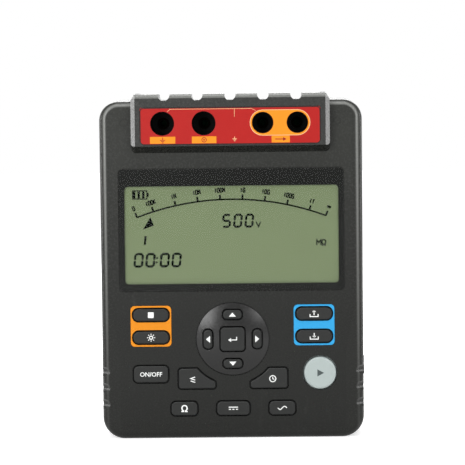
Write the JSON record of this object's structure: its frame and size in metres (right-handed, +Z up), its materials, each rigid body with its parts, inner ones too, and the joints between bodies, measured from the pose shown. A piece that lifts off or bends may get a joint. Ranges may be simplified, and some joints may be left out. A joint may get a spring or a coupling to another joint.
{
  "type": "insulation resistance tester",
  "caption": "Hand-held insulation resistance tester with a display, cursor keypad, terminal block with shrouded sockets, battery bay and fold-out tilt stand",
  "frame": {"origin": "on the surface the tester stands on, under the middle of its bounding box", "axes": "+X to the right as the panel is read, +Y from the panel to the back, +Z up"},
  "size_m": [0.1571, 0.094, 0.204],
  "materials": {
    "case_plastic": "fine-textured dark grey moulding",
    "hood_plastic": "fine-textured dark grey moulding",
    "key_plastic": "smooth dark grey key",
    "start_key_plastic": "pale grey satin key",
    "disc_plastic": "satin grey domed disc",
    "terminal_red": "red label plate",
    "frame_orange": "orange key frame",
    "frame_blue": "light blue key frame",
    "socket_black": "black insulating barrel",
    "lens_clear": "clear lens with a printed dark border",
    "display_grey": "grey-green display glass",
    "light_panel": "white light panel",
    "holder_plastic": "black display holder",
    "mat_rubber": "silicone sealing mat",
    "seal_rubber": "black seal",
    "pad_rubber": "black rubber",
    "dome_steel": "snap domes",
    "board_green": "green circuit board",
    "chip_black": "black chip packages",
    "ferrite": "dark ferrite core",
    "copper_winding": "enamelled copper winding",
    "capacitor_blue": "sleeved capacitors",
    "relay_case": "relay cases",
    "buzzer_black": "sounder case",
    "contact_brass": "darkened brass sleeve",
    "contact_steel": "plated spring steel",
    "screw_steel": "zinc-plated screws",
    "cell_jacket": "plain jacketed cells",
    "port_steel": "port shell",
    "jack_black": "jack body"
  },
  "bodies": {
    "tester": {"front_case": "case_plastic", "rear_case": "case_plastic", "case_gasket": "seal_rubber", "terminal_hood": "hood_plastic", "terminal_plate": "terminal_red", "socket_earth": "socket_black", "socket_guard": "socket_black", "socket_sense": "socket_black", "socket_line": "socket_black", "socket_contacts": "contact_brass", "display_lens": "lens_clear", "display_glass": "display_grey", "backlight_panel": "light_panel", "display_holder": "holder_plastic", "orange_key_frame": "frame_orange", "blue_key_frame": "frame_blue", "cursor_disc": "disc_plastic", "key_mat": "mat_rubber", "key_domes": "dome_steel", "key_board": "board_green", "main_board": "board_green", "high_voltage_board": "board_green", "board_chips": "chip_black", "transformer_core": "ferrite", "transformer_winding": "copper_winding", "high_voltage_capacitors": "capacitor_blue", "relays": "relay_case", "buzzer": "buzzer_black", "case_screws": "screw_steel", "board_screws": "screw_steel", "hood_screws": "screw_steel", "batteries": "cell_jacket", "battery_contacts": "contact_steel", "rubber_pads": "pad_rubber", "power_jack": "jack_black", "data_port": "port_steel", "port_board": "board_green"},
    "key_upper_left_body": {"key_upper_left": "key_plastic"},
    "key_lower_left_body": {"key_lower_left": "key_plastic"},
    "key_upper_right_body": {"key_upper_right": "key_plastic"},
    "key_lower_right_body": {"key_lower_right": "key_plastic"},
    "key_centre_body": {"key_centre": "key_plastic"},
    "key_up_body": {"key_up": "key_plastic"},
    "key_down_body": {"key_down": "key_plastic"},
    "key_left_body": {"key_left": "key_plastic"},
    "key_right_body": {"key_right": "key_plastic"},
    "key_power_body": {"key_power": "key_plastic"},
    "key_mode_left_body": {"key_mode_left": "key_plastic"},
    "key_mode_middle_body": {"key_mode_middle": "key_plastic"},
    "key_mode_right_body": {"key_mode_right": "key_plastic"},
    "key_start_body": {"key_start": "start_key_plastic"},
    "key_wedge_left_body": {"key_wedge_left": "key_plastic"},
    "key_wedge_right_body": {"key_wedge_right": "key_plastic"},
    "stand_body": {"tilt_stand": "case_plastic", "stand_pads": "pad_rubber"},
    "cover_body": {"battery_cover": "case_plastic", "battery_cover_screws": "screw_steel"},
    "flap_body": {"port_flap": "pad_rubber"}
  },
  "joints": [
    {"name": "key_upper_left_press", "type": "slide", "parent": "tester", "child": "key_upper_left_body", "axis": [0, 1, 0], "range_m": [0, 0.0012], "stiffness_N_per_m": 1500},
    {"name": "key_lower_left_press", "type": "slide", "parent": "tester", "child": "key_lower_left_body", "axis": [0, 1, 0], "range_m": [0, 0.0012], "stiffness_N_per_m": 1500},
    {"name": "key_upper_right_press", "type": "slide", "parent": "tester", "child": "key_upper_right_body", "axis": [0, 1, 0], "range_m": [0, 0.0012], "stiffness_N_per_m": 1500},
    {"name": "key_lower_right_press", "type": "slide", "parent": "tester", "child": "key_lower_right_body", "axis": [0, 1, 0], "range_m": [0, 0.0012], "stiffness_N_per_m": 1500},
    {"name": "key_centre_press", "type": "slide", "parent": "tester", "child": "key_centre_body", "axis": [0, 1, 0], "range_m": [0, 0.0012], "stiffness_N_per_m": 1500},
    {"name": "key_up_press", "type": "slide", "parent": "tester", "child": "key_up_body", "axis": [0, 1, 0], "range_m": [0, 0.0012], "stiffness_N_per_m": 1500},
    {"name": "key_down_press", "type": "slide", "parent": "tester", "child": "key_down_body", "axis": [0, 1, 0], "range_m": [0, 0.0012], "stiffness_N_per_m": 1500},
    {"name": "key_left_press", "type": "slide", "parent": "tester", "child": "key_left_body", "axis": [0, 1, 0], "range_m": [0, 0.0012], "stiffness_N_per_m": 1500},
    {"name": "key_right_press", "type": "slide", "parent": "tester", "child": "key_right_body", "axis": [0, 1, 0], "range_m": [0, 0.0012], "stiffness_N_per_m": 1500},
    {"name": "key_power_press", "type": "slide", "parent": "tester", "child": "key_power_body", "axis": [0, 1, 0], "range_m": [0, 0.0012], "stiffness_N_per_m": 1500},
    {"name": "key_mode_left_press", "type": "slide", "parent": "tester", "child": "key_mode_left_body", "axis": [0, 1, 0], "range_m": [0, 0.0012], "stiffness_N_per_m": 1500},
    {"name": "key_mode_middle_press", "type": "slide", "parent": "tester", "child": "key_mode_middle_body", "axis": [0, 1, 0], "range_m": [0, 0.0012], "stiffness_N_per_m": 1500},
    {"name": "key_mode_right_press", "type": "slide", "parent": "tester", "child": "key_mode_right_body", "axis": [0, 1, 0], "range_m": [0, 0.0012], "stiffness_N_per_m": 1500},
    {"name": "key_start_press", "type": "slide", "parent": "tester", "child": "key_start_body", "axis": [0, 1, 0], "range_m": [0, 0.0012], "stiffness_N_per_m": 1500},
    {"name": "key_wedge_left_press", "type": "slide", "parent": "tester", "child": "key_wedge_left_body", "axis": [0, 1, 0], "range_m": [0, 0.0012], "stiffness_N_per_m": 1500},
    {"name": "key_wedge_right_press", "type": "slide", "parent": "tester", "child": "key_wedge_right_body", "axis": [0, 1, 0], "range_m": [0, 0.0012], "stiffness_N_per_m": 1500},
    {"name": "stand_swing", "type": "hinge", "parent": "tester", "child": "stand_body", "pos_m": [0, 0.0438, 0.139], "axis": [1, 0, 0], "range_deg": [0, 38]},
    {"name": "cover_lift", "type": "slide", "parent": "tester", "child": "cover_body", "axis": [0, 1, 0], "range_m": [0, 0.025]},
    {"name": "flap_swing", "type": "hinge", "parent": "tester", "child": "flap_body", "pos_m": [0.07735, 0.025, 0.0383], "axis": [0, 0, 1], "range_deg": [0, 100]}
  ]
}
